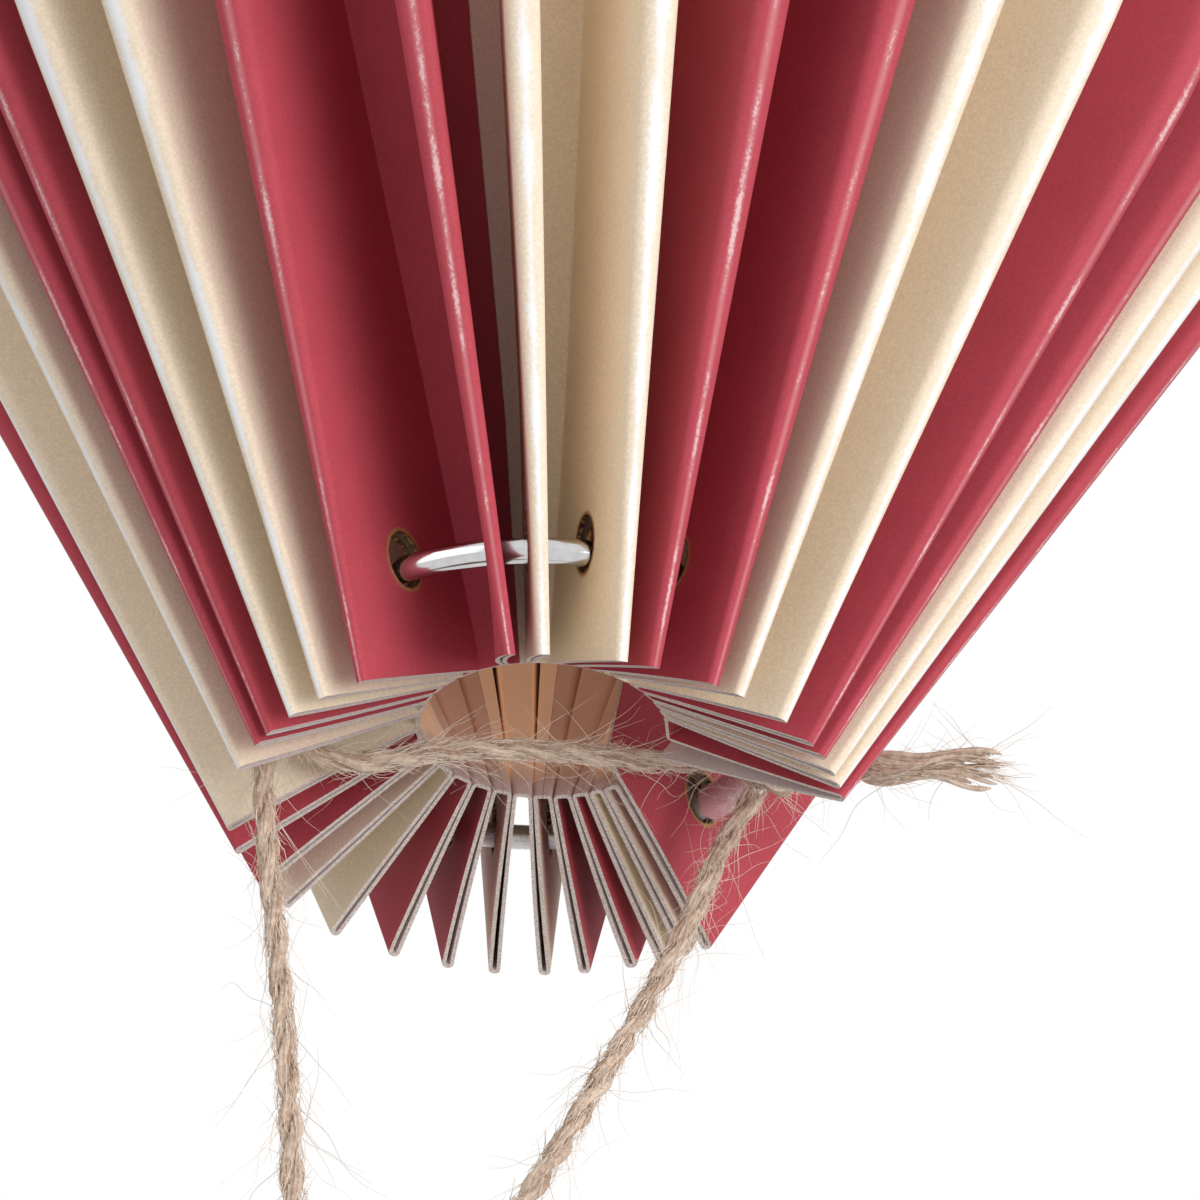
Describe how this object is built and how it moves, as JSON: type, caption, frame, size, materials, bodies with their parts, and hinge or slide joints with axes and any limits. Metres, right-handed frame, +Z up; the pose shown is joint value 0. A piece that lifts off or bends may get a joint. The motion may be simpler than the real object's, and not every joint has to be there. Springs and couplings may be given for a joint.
{
  "type": "paper hot air balloon ornament",
  "caption": "Hanging hot air balloon of deep-pleated card in two alternating colours, gathered on a binder ring at the mouth, with a small twine basket.",
  "frame": {"origin": "top of the hole of the hanging eye, where a cord bears", "axes": "+Z up along the balloon's axis, -Y towards the viewer, +X to the viewer's right"},
  "size_m": [0.1598, 0.1598, 0.26],
  "materials": {
    "red_card": "matt printed card",
    "cream_card": "matt printed card",
    "crown_card": "matt card",
    "ring_metal": "bright nickel plate",
    "fitting_metal": "satin",
    "jute_twine": "hairy two-ply jute",
    "basket_twine": "hairy two-ply jute"
  },
  "bodies": {
    "root": {"red_stripe_1": "red_card", "cream_stripe_1": "cream_card", "red_stripe_2": "red_card", "cream_stripe_2": "cream_card", "red_stripe_3": "red_card", "cream_stripe_3": "cream_card", "red_stripe_4": "red_card", "cream_stripe_4": "cream_card", "red_stripe_5": "red_card", "cream_stripe_5": "cream_card", "red_stripe_6": "red_card", "cream_stripe_6": "cream_card", "red_stripe_7": "red_card", "cream_stripe_7": "cream_card", "red_stripe_8": "red_card", "cream_stripe_8": "cream_card", "red_stripe_9": "red_card", "ring_plain_half": "ring_metal", "ring_snap_half": "ring_metal", "ring_hinge_pin": "ring_metal", "crown_disc": "crown_card", "crown_washer": "fitting_metal", "hanging_eye": "fitting_metal", "basket": "basket_twine", "twine_ring_loop": "jute_twine", "twine_ring_knot": "jute_twine", "basket_knot_left": "jute_twine", "basket_knot_right": "jute_twine", "twine_left": "jute_twine", "twine_cross": "jute_twine", "twine_right": "jute_twine", "twine_tail": "jute_twine"}
  },
  "joints": []
}
